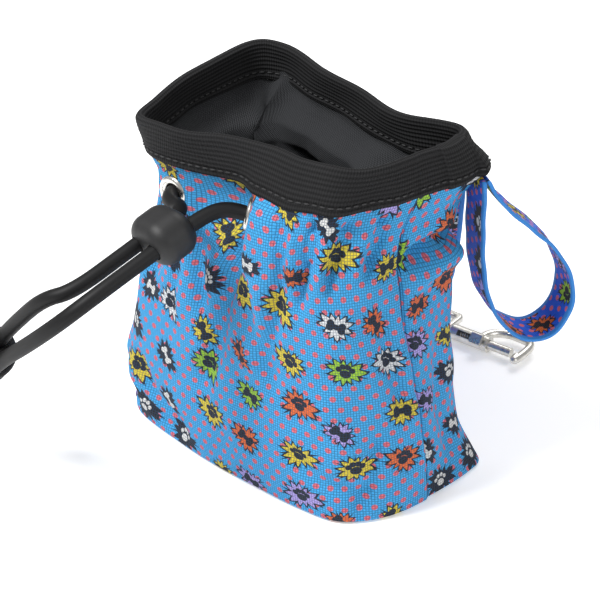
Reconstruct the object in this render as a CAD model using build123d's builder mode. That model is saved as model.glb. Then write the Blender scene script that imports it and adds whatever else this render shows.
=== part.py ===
"""Drawstring treat pouch: fabric bag, bound rim, elastic draw cord with lock, ribbon loop and bolt snap.

Millimetres.  The origin is the centre of the base on the ground, +Z up.  The front panel, with the
two eyelets, faces -Y, and the side seam that shows is on +X.
"""
import os
from math import cos, pi, radians, sin, tan

from build123d import *

# ---- driving dimensions -------------------------------------------------------------------------
FABRIC = 0.7            # printed outer cloth
LINING = 0.5            # dark inner cloth
TAPE = 0.8              # rim binding, one layer
TAPE_DEPTH = 12.2       # how far the binding reaches down each side
RIM_Z = 118.0
BASE_THICK = 1.0
SEAM_LEAN = 0.045       # the side seams lean back by this much per unit of height

CORD = 5.0              # braided elastic cord, diameter
CASING_Z = 95.0         # height of the cord channel
CHANNEL_INSET = 9.6    # how far the lining stands in at the channel
CORD_INSET = 4.5        # cord centre line, in from the outer cloth

EYELET_R = 5.5          # flange radius
EYELET_HOLE_R = 3.0
EYELET_BARREL_R = 3.35

LOCK_SPACING = 9.5      # between the two bores of the cord lock
LOCK_WIDTH = 21.0
LOCK_HEIGHT = 15.5
LOCK_LENGTH = 15.0
LOCK_BORE_R = 2.8

RIBBON = 0.9            # ribbon thickness
RIBBON_WIDTH = 15.0

CLIP_YAW = 8.0          # the bolt snap lies behind the bag, turned a little from +X
WIRE_R = 1.3            # swivel eye wire
BARREL_R = 3.0
BOLT_R = 1.75
BOLT_CLEARANCE = 0.1

# ---- the bag's outline, seventeen points at each height, from the right seam round the back -------
OUTLINE = {
    0: [(57, 0), (57, 20), (51, 31), (24, 34), (0, 34), (-24, 33), (-47, 30), (-55, 18), (-56, 0),
        (-56, -21), (-49, -32), (-24, -35.5), (-5, -36), (12, -35), (30, -33.5), (45, -29.5), (54, -17)],
    12: [(57, 0), (53, 18), (45, 28), (24, 34), (0, 36), (-24, 35), (-46, 31), (-56, 20), (-59, 0),
         (-58, -23), (-49, -34), (-24, -37), (-5, -37.5), (12, -37), (30, -35), (45, -30), (54, -17)],
    45: [(52, -2), (49, 16), (41, 26), (22, 32), (0, 34), (-24, 34), (-46, 31), (-55, 20), (-58, 0),
         (-56, -20), (-47, -32), (-24, -37), (-5, -37), (12, -36), (28, -34), (42, -29), (50, -17)],
    75: [(47, -4), (47, 14), (41, 26), (22, 29), (0, 31), (-24, 32), (-44, 30), (-52, 20), (-53, 0),
         (-50, -19), (-42, -28), (-25, -34), (-6, -32), (10, -36), (26, -34), (38, -29), (45, -18)],
    95: [(43, 0), (46, 19), (39, 29), (22, 26), (0, 28), (-24, 31), (-43, 31), (-50, 22), (-50, 0),
         (-46, -18), (-39, -27), (-27, -32), (0, -24.5), (10, -34.5), (24, -32), (34, -26), (40, -14)],
    107: [(44, 5), (47, 23), (41, 33), (22, 26), (0, 29), (-24, 32), (-44, 35), (-54, 26), (-53, 0),
          (-49, -18), (-43, -29), (-26, -34), (-4, -27), (8, -28), (22, -27), (33, -23), (40, -10)],
    118: [(42, 6), (44, 21), (38, 31.5), (21, 25), (0, 28), (-22, 31), (-45, 36), (-55, 26), (-53, 0),
          (-49, -19), (-44, -31), (-26, -33.5), (-10, -27), (6, -22), (20, -20.5), (33, -17), (40, -6)],
}
# how far the lining stands in from the outer cloth, by height: it swells inward over the cord channel
LINING_INSET = {0: 1.8, 80: 1.8, 89: CHANNEL_INSET, 101: CHANNEL_INSET, 105: 0.8, 118: 0.8}

# ---- the draw cord's route, chosen by hand --------------------------------------------------------
LEFT_EYELET = Plane(origin=(-27, -32.3, 94.5), x_dir=(1, 0, 0), z_dir=(0.05, -1, 0.05))
RIGHT_EYELET = Plane(origin=(5.2, -29.4, 98), x_dir=(0.6, -0.75, 0), z_dir=(-0.75, -0.6, 0.2))
LOCK_CENTRE = Vector(-9.5, -52, 93.6)
LOCK_AXIS = Vector(-0.10, -0.94, -0.31).normalized()
LOCK_ACROSS = Vector(0.98, -0.15, 0.14).normalized()
ENTRY = 12.3            # the strands are straight from this far behind the lock's centre
STRAIGHT = 33.0         # to this far in front of it
LEFT_INSIDE = [(-36.3, -23.3, 95), (-28.8, -26.8, 94.6)]
RIGHT_INSIDE = [(22, -28.2, 95), (7.1, -28.4, 97.4)]
LEFT_STRAND = [(-24.5, -38, 94.8), "lock", (-25.5, -88, 79), (-39.5, -88, 65), (-53, -86, 51),
               (-64, -85, 37), (-72, -87, 21), (-82, -90, 7.5), (-95, -93, 2.6)]
RIGHT_STRAND = [(-0.8, -34, 99.6), "lock", (-15, -92, 75.5), (-31, -93, 61), (-47.5, -90, 47.5),
                (-60, -90, 33), (-69, -95, 17.5), (-79, -101, 5.5), (-91, -107, 2.6)]
KNOT_CENTRE = (-55.5, -87.5, 45.5)
KNOT_AXIS = (-0.70, 0.05, -0.71)
KNOT_SIDE = (0.05, 1, 0.02)

# ---- ribbons --------------------------------------------------------------------------------------
LOOP_ROOT = Plane(origin=(45.4, 31.8, 0), x_dir=(0.47, 0.883, 0), z_dir=(0.883, -0.47, 0))
LOOP_PATH = [(0.8, 104.4), (5, 97), (10.5, 90.8), (17.5, 84), (23.5, 78), (28.3, 71), (31.6, 62.5),
             (31.8, 54), (28.5, 47), (23.5, 43.6), (17.5, 43.8), (11, 47.8), (6.3, 54), (3, 61),
             (0.9, 70), (-0.2, 80), (-0.5, 91), (-0.6, 104.4)]
STRAP_ROOT = Vector(31.5, 31.4, 104.4)
STRAP_AXIS = Vector(0.94, 0.35, 0).normalized()
EYE_BAR = Vector(-14, 79, 3.2)


def blend(table, z):
    """Linear interpolation in a table keyed by height."""
    keys = sorted(table)
    low = max(k for k in keys if k <= z)
    high = min(k for k in keys if k >= z)
    t = 0 if high == low else (z - low) / (high - low)
    return table[low], table[high], t


def outline(z, inset):
    """The bag's outline at a height, moved in along each point's own normal."""
    low, high, t = blend(OUTLINE, z)
    points = [Vector(*a) * (1 - t) + Vector(*b) * t for a, b in zip(low, high)]
    moved = []
    for i, point in enumerate(points):
        along = (points[(i + 1) % len(points)] - points[i - 1]).normalized()
        moved.append(point + Vector(-along.Y, along.X) * inset)
    return moved


def section(z, inset):
    """One horizontal cut through the bag, as a face."""
    with BuildSketch(Plane.XY.offset(z)) as cut:
        with BuildLine():
            Spline(*[(p.X, p.Y) for p in outline(z, inset)], periodic=True)
        make_face()
    return cut.sketch


def levels(low, high, *tables):
    """The heights to cut at: both ends and every tabled height between them."""
    between = {float(z) for table in (OUTLINE, *tables) for z in table if low < z < high}
    return sorted(between | {low, high})


def body_of(low, high, inset):
    """Sections of a bag-shaped solid at a constant inset."""
    return [section(z, inset) for z in levels(low, high)]


def lining_sections(low, high, extra):
    """Sections of the lining's face, further in by extra."""
    cuts = []
    for z in levels(low, high, LINING_INSET):
        a, b, t = blend(LINING_INSET, z)
        cuts.append(section(z, a * (1 - t) + b * t + extra))
    return cuts


def corner_radii(points):
    """As large an arc at each corner as its two runs allow."""
    radii = []
    for before, at, after in zip(points, points[1:], points[2:]):
        turn = (at - before).get_angle(after - at)
        run = min((at - before).length, (after - at).length)
        radii.append(0.45 * run / tan(radians(turn) / 2))
    return radii


def cord(name, points):
    """A round tube along straight runs joined by tangent arcs."""
    points = [Vector(*p) for p in points]
    radii = corner_radii(points)
    with BuildPart() as tube:
        with BuildLine() as route:
            FilletPolyline(*points, radius=radii)
        with BuildSketch(Plane(origin=route.line @ 0, z_dir=route.line % 0)):
            Circle(CORD / 2)
        sweep()
    length = sum(edge.length for edge in route.edges())
    print(name, "length", round(length, 1), "radii", [round(r, 1) for r in radii],
          "volume ratio", round(tube.part.volume / (pi * CORD ** 2 / 4 * length), 4))
    return tube


def ribbon_sides(path):
    """The two faces of a ribbon that follows a path, as two rows of points, one each way."""
    points = [Vector(*p) for p in path]
    left = []
    right = []
    for i, point in enumerate(points):
        along = (points[min(i + 1, len(points) - 1)] - points[max(i - 1, 0)]).normalized()
        side = Vector(-along.Y, along.X) * (RIBBON / 2)
        left.append(point + side)
        right.insert(0, point - side)
    return left, right


def export(piece, name):
    """Label one piece and write it."""
    piece.part.label = name
    export_step(piece.part, f"parts/{name}.step")


# ---- the bag --------------------------------------------------------------------------------------
CLOTH_TOP = RIM_Z - TAPE - 0.2
SEAM_PLANE = Plane(origin=(0, 0, 0), z_dir=(0, 1, -SEAM_LEAN))


def shell(outer, inner):
    """A thin wall between two stacks of sections."""
    loft(outer, ruled=True, clean=False)
    loft(inner, ruled=True, clean=False, mode=Mode.SUBTRACT)


def eyelet_hole(place):
    """The punched hole for one eyelet's barrel."""
    with BuildSketch(place.offset(-4)) as punch:
        Circle(EYELET_BARREL_R + 0.05)
    extrude(punch.sketch, amount=8, mode=Mode.SUBTRACT, clean=False)


def make_bag():
    """Outer panels, base and lining."""
    with BuildPart() as front_panel:
        shell(body_of(BASE_THICK, CLOTH_TOP, 0), body_of(BASE_THICK, CLOTH_TOP, FABRIC))
        split(bisect_by=SEAM_PLANE, keep=Keep.BOTTOM)
        eyelet_hole(LEFT_EYELET)
        eyelet_hole(RIGHT_EYELET)
    with BuildPart() as back_panel:
        shell(body_of(BASE_THICK, CLOTH_TOP, 0), body_of(BASE_THICK, CLOTH_TOP, FABRIC))
        split(bisect_by=SEAM_PLANE, keep=Keep.TOP)
    with BuildPart() as base_panel:
        loft(body_of(0.0, BASE_THICK, 0), ruled=True)
    with BuildPart() as lining_wall:
        shell(lining_sections(2.2, CLOTH_TOP, 0), lining_sections(2.2, CLOTH_TOP, LINING))
    with BuildPart() as lining_base:
        loft(body_of(1.6, 2.2, LINING_INSET[0]), ruled=True)
    return {"front_panel": front_panel, "back_panel": back_panel, "base_panel": base_panel,
            "lining_wall": lining_wall, "lining_base": lining_base}


def make_binding():
    """One tape folded over the rim, down both faces of the cloth."""
    low = RIM_Z - TAPE_DEPTH
    inner = LINING_INSET[118] + LINING + 0.05
    with BuildPart() as rim_binding:
        shell(body_of(CLOTH_TOP + 0.05, RIM_Z, -TAPE), body_of(CLOTH_TOP + 0.05, RIM_Z, inner + TAPE))
    with BuildPart() as outer_leg:
        shell(body_of(low, CLOTH_TOP + 0.05, -TAPE), body_of(low, CLOTH_TOP + 0.05, 0))
    with BuildPart() as inner_leg:
        shell(body_of(low, CLOTH_TOP + 0.05, inner), body_of(low, CLOTH_TOP + 0.05, inner + TAPE))
    with rim_binding:
        add([outer_leg.part, inner_leg.part], clean=False)
    return {"rim_binding": rim_binding}


# ---- eyelets ----------------------------------------------------------------------------------------
def make_eyelet(place):
    """A rolled eyelet: domed flange, barrel, and the lip that is rolled over the washer."""
    with BuildPart() as eyelet:
        with BuildSketch(Plane(origin=place.origin, x_dir=place.x_dir, z_dir=place.y_dir * -1)):
            with BuildLine():
                Polyline((EYELET_HOLE_R, 0.5), (EYELET_HOLE_R, -2.2), (4.3, -2.2), (4.3, -1.8),
                         (EYELET_BARREL_R, -1.8), (EYELET_BARREL_R, 0), (EYELET_R, 0), (EYELET_R, 0.35))
                ThreePointArc((EYELET_R, 0.35), (4.3, 1.15), (EYELET_HOLE_R, 0.5))
            make_face()
        revolve(axis=Axis(place.origin, place.z_dir))
    return eyelet


def make_washer(place):
    """The flat washer behind the cloth."""
    with BuildPart(place.offset(-FABRIC - 0.35)) as washer:
        Cylinder(EYELET_R - 0.1, 0.5)
        Cylinder(EYELET_BARREL_R + 0.05, 0.5, mode=Mode.SUBTRACT)
    return washer


# ---- cord, knot and lock ------------------------------------------------------------------------------
def strand(inside, outside, side):
    """One strand's whole route, with its straight stretch through the lock."""
    axis_line = LOCK_CENTRE + LOCK_ACROSS * (side * LOCK_SPACING / 2)
    straight = [axis_line - LOCK_AXIS * ENTRY, axis_line + LOCK_AXIS * STRAIGHT]
    start = (Vector(*inside[0]) + Vector(*inside[1])) * 0.5
    place = outside.index("lock")
    return [start, inside[1], *outside[:place], *straight, *outside[place + 1:]]


def make_cords():
    """The loop in the channel and the two strands, cut where they turn towards the eyelets."""
    around = [(p.X, p.Y, CASING_Z) for p in outline(CASING_Z, CORD_INSET)]
    ends = [tuple((Vector(*pair[0]) + Vector(*pair[1])) * 0.5) for pair in (LEFT_INSIDE, RIGHT_INSIDE)]
    route = [ends[0], LEFT_INSIDE[0], *around[9:0:-1], around[0], around[16], around[15],
             RIGHT_INSIDE[0], ends[1]]
    loop = cord("draw_cord_loop", route)
    left = cord("draw_cord_left", strand(LEFT_INSIDE, LEFT_STRAND, -1))
    right = cord("draw_cord_right", strand(RIGHT_INSIDE, RIGHT_STRAND, 1))
    lengthwise = Plane(origin=KNOT_CENTRE, x_dir=KNOT_AXIS, z_dir=KNOT_SIDE)
    with BuildPart() as knot:
        with BuildSketch(lengthwise):
            Ellipse(10.5, 8.6)
            split(bisect_by=Plane.XZ)
        revolve(axis=Axis(lengthwise.origin, lengthwise.x_dir))
        add(left.part, mode=Mode.SUBTRACT)
        add(right.part, mode=Mode.SUBTRACT)
    return {"draw_cord_loop": loop, "draw_cord_left": left, "draw_cord_right": right, "cord_knot": knot}


def make_lock():
    """A rounded rubber bean with two bores."""
    middle = Plane(origin=LOCK_CENTRE, x_dir=LOCK_ACROSS, z_dir=LOCK_AXIS)
    with BuildPart() as cord_lock:
        with BuildSketch(middle):
            SlotOverall(LOCK_WIDTH, LOCK_HEIGHT)
        extrude(amount=LOCK_LENGTH / 2, both=True)
        fillet(cord_lock.edges(), radius=5.2)
        with BuildSketch(middle):
            with Locations((-LOCK_SPACING / 2, 0), (LOCK_SPACING / 2, 0)):
                Circle(LOCK_BORE_R)
        extrude(amount=LOCK_LENGTH, both=True, mode=Mode.SUBTRACT)
    return {"cord_lock": cord_lock}


# ---- ribbons ------------------------------------------------------------------------------------------
def make_hang_loop():
    """The ribbon teardrop at the right rear corner of the rim."""
    left, right = ribbon_sides(LOOP_PATH)
    with BuildPart() as hang_loop:
        with BuildSketch(LOOP_ROOT):
            with BuildLine():
                one = Spline(*left)
                other = Spline(*right)
                Line(one @ 1, other @ 0)
                Line(other @ 1, one @ 0)
            make_face()
        extrude(amount=RIBBON_WIDTH / 2, both=True)
    return {"hang_loop": hang_loop}


def make_strap():
    """The doubled ribbon that carries the snap: it turns as it falls and ends in a bight."""
    bar_axis = Vector(-sin(radians(CLIP_YAW)), cos(radians(CLIP_YAW)), 0)
    foot = EYE_BAR + Vector(0.6, -0.3, 2.1)
    steps = 6
    with BuildPart() as clip_strap:
        cuts = []
        for i in range(steps + 1):
            t = i / steps
            centre = STRAP_ROOT * (1 - t) + foot * t - Vector(0, 0, 6) * sin(t * radians(180))
            across = (STRAP_AXIS * (1 - t) + bar_axis * t).normalized()
            with BuildSketch(Plane(origin=centre, x_dir=across, z_dir=(foot - STRAP_ROOT).cross(
                    across).cross(across) * -1)) as cut:
                Rectangle(RIBBON_WIDTH, 2 * RIBBON)
            cuts.append(cut.sketch)
        loft(cuts, ruled=True)
        with Locations(Plane(origin=EYE_BAR, z_dir=bar_axis)):
            Cylinder(WIRE_R + 0.35 + RIBBON, RIBBON_WIDTH)
            Cylinder(WIRE_R + 0.35, RIBBON_WIDTH + 4, mode=Mode.SUBTRACT)
    return {"clip_strap": clip_strap}


# ---- bolt snap, drawn flat with its length along local X from the eye's bar -----------------------------
CLIP = Plane(origin=EYE_BAR, x_dir=(cos(radians(CLIP_YAW)), sin(radians(CLIP_YAW)), 0), z_dir=(0, 0, 1))
EYE_HALF = 8.2 + WIRE_R         # bar centre to side wire centre, across
EYE_FRONT = 7.5                 # bar to front wire
SHANK_R = 1.1
BARREL_X = (10.0, 26.0)
CAVITY_X = 12.0
HEAD_X = (12.15, 13.3)          # the shank's head, inside the cavity
BOLT_X = (20.3, 35.4)
ARM_R = 1.6
ARM = [(21.5, 2.2), (25.0, 9.0), (34.5, 10.2), (39.0, 5.5), (38.3, -0.9)]
KNOB_TURN = 40.0                # the thumb knob leans up from the near side by this much


def across_x(x, turn=0.0):
    """A plane square to the snap's axis at x, its own X axis leaning up from the near side."""
    near = Vector(0, -cos(radians(turn)), sin(radians(turn)))
    return Plane(origin=CLIP.from_local_coords(Vector(x, 0, 0)),
                 x_dir=CLIP.from_local_coords(near) - CLIP.origin,
                 z_dir=CLIP.x_dir)


def make_eye():
    """The swivel eye: a closed wire loop and the headed shank that turns in the snap's collar."""
    with BuildPart() as swivel_eye:
        with BuildSketch(CLIP):
            with Locations((EYE_FRONT / 2, 0)):
                RectangleRounded(EYE_FRONT + 2 * WIRE_R, 2 * (EYE_HALF + WIRE_R), 2.6)
                RectangleRounded(EYE_FRONT - 2 * WIRE_R, 2 * (EYE_HALF - WIRE_R), 1.2, mode=Mode.SUBTRACT)
        extrude(amount=WIRE_R, both=True)
        fillet(swivel_eye.edges().filter_by(Plane.XY), radius=WIRE_R * 0.7)
        with Locations(across_x(EYE_FRONT)):
            Cylinder(SHANK_R, HEAD_X[1] - EYE_FRONT, align=(Align.CENTER, Align.CENTER, Align.MIN))
        with Locations(across_x(HEAD_X[0])):
            Cylinder(1.6, HEAD_X[1] - HEAD_X[0], align=(Align.CENTER, Align.CENTER, Align.MIN))
    return {"swivel_eye": swivel_eye}


def make_snap():
    """The snap's one-piece casting: collar, slotted barrel and hook arm."""
    cavity_r = BOLT_R + BOLT_CLEARANCE
    with BuildPart() as snap_body:
        with Locations(across_x(BARREL_X[0])):
            Cylinder(BARREL_R, BARREL_X[1] - BARREL_X[0], align=(Align.CENTER, Align.CENTER, Align.MIN))
        fillet(snap_body.edges().sort_by(Axis((0, 0, 0), CLIP.x_dir))[0], radius=1.0)
        with BuildLine(CLIP) as arm:
            Spline(*ARM, tangents=[(0.3, 1), (-0.2, -1)])
        with BuildSketch(Plane(origin=arm.line @ 0, z_dir=arm.line % 0)):
            Circle(ARM_R)
        sweep()
        with Locations(Plane(CLIP.from_local_coords(Vector(*ARM[-1])))):
            Sphere(2.3)
        with Locations(across_x(CAVITY_X)):
            Cylinder(cavity_r, BARREL_X[1] - CAVITY_X + 9.9, align=(Align.CENTER, Align.CENTER, Align.MIN),
                     mode=Mode.SUBTRACT)
        with Locations(across_x(BARREL_X[0] - 1)):
            Cylinder(SHANK_R + 0.08, 5, align=(Align.CENTER, Align.CENTER, Align.MIN), mode=Mode.SUBTRACT)
        with BuildSketch(across_x(13.5, KNOB_TURN)):
            with Locations((BARREL_R, 0)):
                Rectangle(2 * BARREL_R, 2.0)
        extrude(amount=11.0, mode=Mode.SUBTRACT)
    with BuildPart() as snap_bolt:
        with Locations(across_x(BOLT_X[0])):
            Cylinder(BOLT_R, BOLT_X[1] - BOLT_X[0], align=(Align.CENTER, Align.CENTER, Align.MIN))
        with BuildSketch(across_x(21.2, KNOB_TURN)):
            with Locations((BARREL_R / 2 + 0.6, 0)):
                Rectangle(BARREL_R + 1.2, 1.7)
        extrude(amount=2.6)
        with BuildSketch(across_x(20.4, KNOB_TURN)):
            with Locations((BARREL_R + 1.6, 0)):
                RectangleRounded(1.9, 4.6, 0.8)
        extrude(amount=4.4)
    coil_r = 1.25
    with BuildPart() as bolt_spring:
        with BuildLine() as turns:
            Helix(pitch=0.95, height=5.8, radius=coil_r, center=across_x(CAVITY_X + 1.95).origin,
                  direction=CLIP.x_dir)
        with BuildSketch(Plane(origin=turns.line @ 0, z_dir=turns.line % 0)):
            Circle(0.22)
        sweep(is_frenet=True)
    return {"snap_body": snap_body, "snap_bolt": snap_bolt, "bolt_spring": bolt_spring}


# ---- build and write --------------------------------------------------------------------------------------
os.makedirs("parts", exist_ok=True)
pieces = {**make_bag(), **make_binding(), **make_cords(), **make_lock(), **make_hang_loop(),
          **make_strap(), **make_eye(), **make_snap()}
for side, seat in (("left", LEFT_EYELET), ("right", RIGHT_EYELET)):
    pieces[f"eyelet_{side}"] = make_eyelet(seat)
    pieces[f"eyelet_washer_{side}"] = make_washer(seat)
for name, piece in pieces.items():
    export(piece, name)
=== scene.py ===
"""Looks of the treat pouch: bag, lining, rim tape, cords, ribbons, metal and the studio."""
from math import cos, pi, radians, sin, tau

import bmesh
import bpy
import numpy as np
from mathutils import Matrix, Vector


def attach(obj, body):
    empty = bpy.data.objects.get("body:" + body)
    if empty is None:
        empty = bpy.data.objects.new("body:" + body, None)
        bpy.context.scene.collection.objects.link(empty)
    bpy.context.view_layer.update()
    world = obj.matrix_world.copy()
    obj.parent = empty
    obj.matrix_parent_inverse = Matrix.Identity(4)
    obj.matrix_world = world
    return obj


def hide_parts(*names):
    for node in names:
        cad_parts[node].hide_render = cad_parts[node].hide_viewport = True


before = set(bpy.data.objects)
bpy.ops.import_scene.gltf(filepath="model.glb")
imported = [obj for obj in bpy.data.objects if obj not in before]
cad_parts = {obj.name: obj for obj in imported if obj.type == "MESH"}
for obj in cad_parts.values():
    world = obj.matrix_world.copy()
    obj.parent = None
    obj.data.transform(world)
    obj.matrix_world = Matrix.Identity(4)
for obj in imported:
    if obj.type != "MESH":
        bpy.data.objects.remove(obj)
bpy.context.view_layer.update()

MM = 0.001

# ---- camera, lights and floor ----------------------------------------------------------------
VIEW_AZIMUTH = 45.0         # from the front panel towards the side with the seam
VIEW_ELEVATION = 31.0
VIEW_DISTANCE = 0.700
VIEW_TARGET = Vector((8.1, -10.3, 60.0)) * MM
LENS = 130.2
SENSOR_WIDTH = 36.0
LAMP_AIM = Vector((0, 0, 0.05))
# name, place in m, width in m and power in W
LAMPS = [("key", (-0.30, -0.55, 0.95), 0.3, 12.0),
         ("fill", (0.85, 0.0, 0.5), 0.5, 2.0),
         ("back", (-0.3, 0.7, 0.9), 0.5, 4.0)]
WORLD_STRENGTH = 0.42
FLOOR_HALF = 3.0            # m
FLOOR_SHADE = 0.95
FLOOR_ROUGHNESS = 0.6
FLOOR_GLOW = 0.30


def make_camera():
    """The photograph's viewing angle."""
    a = radians(VIEW_AZIMUTH)
    e = radians(VIEW_ELEVATION)
    away = Vector((sin(a) * cos(e), -cos(a) * cos(e), sin(e)))
    data = bpy.data.cameras.new("camera")
    data.lens = LENS
    data.sensor_width = SENSOR_WIDTH
    data.clip_start = 0.01
    camera = bpy.data.objects.new("camera", data)
    camera.location = VIEW_TARGET + away * VIEW_DISTANCE
    camera.rotation_euler = (-away).to_track_quat("-Z", "Y").to_euler()
    bpy.context.collection.objects.link(camera)
    bpy.context.scene.camera = camera


def make_light(name, place, size, power):
    """A soft square lamp aimed at the bag."""
    data = bpy.data.lights.new(name, "AREA")
    data.shape = "SQUARE"
    data.size = size
    data.energy = power
    lamp = bpy.data.objects.new(name, data)
    lamp.location = place
    lamp.rotation_euler = (LAMP_AIM - Vector(place)).to_track_quat("-Z", "Y").to_euler()
    bpy.context.collection.objects.link(lamp)


def make_studio():
    """A pale floor, a pale surround and three soft lamps."""
    world = bpy.data.worlds.new("studio")
    world.use_nodes = True
    background = world.node_tree.nodes["Background"]
    background.inputs["Color"].default_value = (1, 1, 1, 1)
    background.inputs["Strength"].default_value = WORLD_STRENGTH
    bpy.context.scene.world = world
    bpy.context.scene.view_settings.view_transform = "Standard"
    for lamp in LAMPS:
        make_light(*lamp)
    h = FLOOR_HALF
    mesh = bpy.data.meshes.new("floor")
    mesh.from_pydata([(-h, -h, 0), (h, -h, 0), (h, h, 0), (-h, h, 0)], [], [(0, 1, 2, 3)])
    floor = bpy.data.objects.new("floor", mesh)
    bpy.context.collection.objects.link(floor)
    material = bpy.data.materials.new("floor_white")
    material.use_nodes = True
    shader = material.node_tree.nodes["Principled BSDF"]
    shader.inputs["Base Color"].default_value = (FLOOR_SHADE, FLOOR_SHADE, FLOOR_SHADE, 1)
    shader.inputs["Roughness"].default_value = FLOOR_ROUGHNESS
    shader.inputs["Emission Color"].default_value = (1, 1, 1, 1)
    shader.inputs["Emission Strength"].default_value = FLOOR_GLOW
    mesh.materials.append(material)


# ---- node helpers ----------------------------------------------------------------------------
class Kit:
    """Short calls for building one material's nodes."""

    def __init__(self, name, roughness, metallic=0.0):
        self.material = bpy.data.materials.new(name)
        self.material.use_nodes = True
        self.tree = self.material.node_tree
        self.shader = self.tree.nodes["Principled BSDF"]
        self.shader.inputs["Roughness"].default_value = roughness
        self.shader.inputs["Metallic"].default_value = metallic

    def put(self, socket, value):
        if hasattr(value, "is_output"):
            self.tree.links.new(value, socket)
        else:
            socket.default_value = value

    def math(self, operation, a, b=0.0, c=0.0):
        node = self.tree.nodes.new("ShaderNodeMath")
        node.operation = operation
        for socket, value in zip(node.inputs, (a, b, c)):
            self.put(socket, value)
        return node.outputs[0]

    def add(self, a, b):
        return self.math("ADD", a, b)

    def sub(self, a, b):
        return self.math("SUBTRACT", a, b)

    def mul(self, a, b):
        return self.math("MULTIPLY", a, b)

    def mul_add(self, a, b, c):
        return self.math("MULTIPLY_ADD", a, b, c)

    def length(self, x, y):
        return self.math("SQRT", self.add(self.mul(x, x), self.mul(y, y)))

    def mix(self, factor, a, b):
        """a where the factor is 0, b where it is 1."""
        node = self.tree.nodes.new("ShaderNodeMix")
        node.data_type = "RGBA"
        for index, value in ((0, factor), (6, a), (7, b)):
            self.put(node.inputs[index], value)
        return node.outputs[2]

    def step(self, value, low, high):
        """1 below low, 0 above high, smooth between them."""
        node = self.tree.nodes.new("ShaderNodeMapRange")
        node.interpolation_type = "SMOOTHSTEP"
        self.put(node.inputs["Value"], value)
        node.inputs["From Min"].default_value = low
        node.inputs["From Max"].default_value = high
        node.inputs["To Min"].default_value = 1.0
        node.inputs["To Max"].default_value = 0.0
        return node.outputs[0]

    def uv(self):
        """Cloth coordinates in millimetres."""
        source = self.tree.nodes.new("ShaderNodeUVMap")
        split = self.tree.nodes.new("ShaderNodeSeparateXYZ")
        self.tree.links.new(source.outputs[0], split.inputs[0])
        return source.outputs[0], split.outputs[0], split.outputs[1]

    def place(self):
        """Object coordinates."""
        return self.tree.nodes.new("ShaderNodeTexCoord").outputs["Object"]

    def noise(self, vector, scale, detail=3.0):
        node = self.tree.nodes.new("ShaderNodeTexNoise")
        self.put(node.inputs["Vector"], vector)
        node.inputs["Scale"].default_value = scale
        node.inputs["Detail"].default_value = detail
        return node.outputs["Fac"]

    def ramp(self, factor, stops, constant=False):
        node = self.tree.nodes.new("ShaderNodeValToRGB")
        node.color_ramp.interpolation = "CONSTANT" if constant else "LINEAR"
        while len(node.color_ramp.elements) < len(stops):
            node.color_ramp.elements.new(0.5)
        for element, (place, colour) in zip(node.color_ramp.elements, stops):
            element.position = place
            element.color = (*colour, 1)
        self.put(node.inputs[0], factor)
        return node.outputs[0]

    def colour(self, value):
        self.put(self.shader.inputs["Base Color"], value)

    def specular(self, level):
        self.shader.inputs["Specular IOR Level"].default_value = level

    def bump(self, height, distance, strength=1.0):
        node = self.tree.nodes.new("ShaderNodeBump")
        node.inputs["Distance"].default_value = distance
        node.inputs["Strength"].default_value = strength
        self.put(node.inputs["Height"], height)
        self.put(self.shader.inputs["Normal"], node.outputs[0])

    def wave(self, value, pitch):
        """A sine of a millimetre coordinate."""
        return self.math("SINE", self.mul(value, tau / pitch))


def srgb(r, g, b):
    """Screen colour to linear."""
    return tuple(((c + 0.055) / 1.055) ** 2.4 if c > 0.04045 else c / 12.92 for c in (r, g, b))


def opaque(colour):
    return (*colour, 1)


# ---- materials -------------------------------------------------------------------------------
SKY = srgb(0.25, 0.66, 0.90)
SKY_SHADOW = srgb(0.08, 0.22, 0.36)
RIBBON_BLUE = srgb(0.11, 0.37, 0.84)
RIBBON_EDGE = srgb(0.22, 0.52, 0.82)
CORAL = srgb(0.88, 0.42, 0.46)
OUTLINE_INK = srgb(0.11, 0.11, 0.12)
PALE_INK = (0.72, 0.72, 0.7)
DARK_BURSTS = 0.73          # cells whose third random number is above this have a black burst
BURST_INKS = [(0.0, srgb(0.86, 0.78, 0.20)), (0.26, srgb(0.88, 0.42, 0.16)),
              (0.44, srgb(0.60, 0.78, 0.18)), (0.58, srgb(0.86, 0.87, 0.88)),
              (0.65, srgb(0.68, 0.62, 0.88)), (DARK_BURSTS, srgb(0.10, 0.10, 0.11))]
# sizes of the print, in mm on the cloth
SPOT_ACROSS = 4.3
SPOT_DOWN = 3.7
SPOT_RADIUS = 0.98
CLOTH_BURST_PITCH = 17.0
RIBBON_BURST_PITCH = 14.0
BURST_SCATTER = 0.42        # 0 is a square grid of bursts, 1 is random
BURST_SQUASH = 1.42
BURST_POINTS = 11
BURST_RAYS = 17
INK_EDGE = (-0.15, 0.1)     # how sharply one ink ends on the next


def disc(kit, x, y, radius):
    """Signed distance to a disc."""
    return kit.sub(kit.length(x, y), radius)


def spot_distance(kit, u, v):
    """Distance to the nearest spot's centre, in staggered rows."""
    row = kit.math("FLOOR", kit.math("DIVIDE", v, SPOT_DOWN))
    shift = kit.math("FRACT", kit.mul(row, 0.5))
    along = kit.math("FRACT", kit.add(kit.math("DIVIDE", u, SPOT_ACROSS), shift))
    du = kit.mul(kit.sub(along, 0.5), SPOT_ACROSS)
    down = kit.math("FRACT", kit.math("DIVIDE", v, SPOT_DOWN))
    dv = kit.mul(kit.sub(down, 0.5), SPOT_DOWN)
    return kit.length(du, dv)


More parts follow.
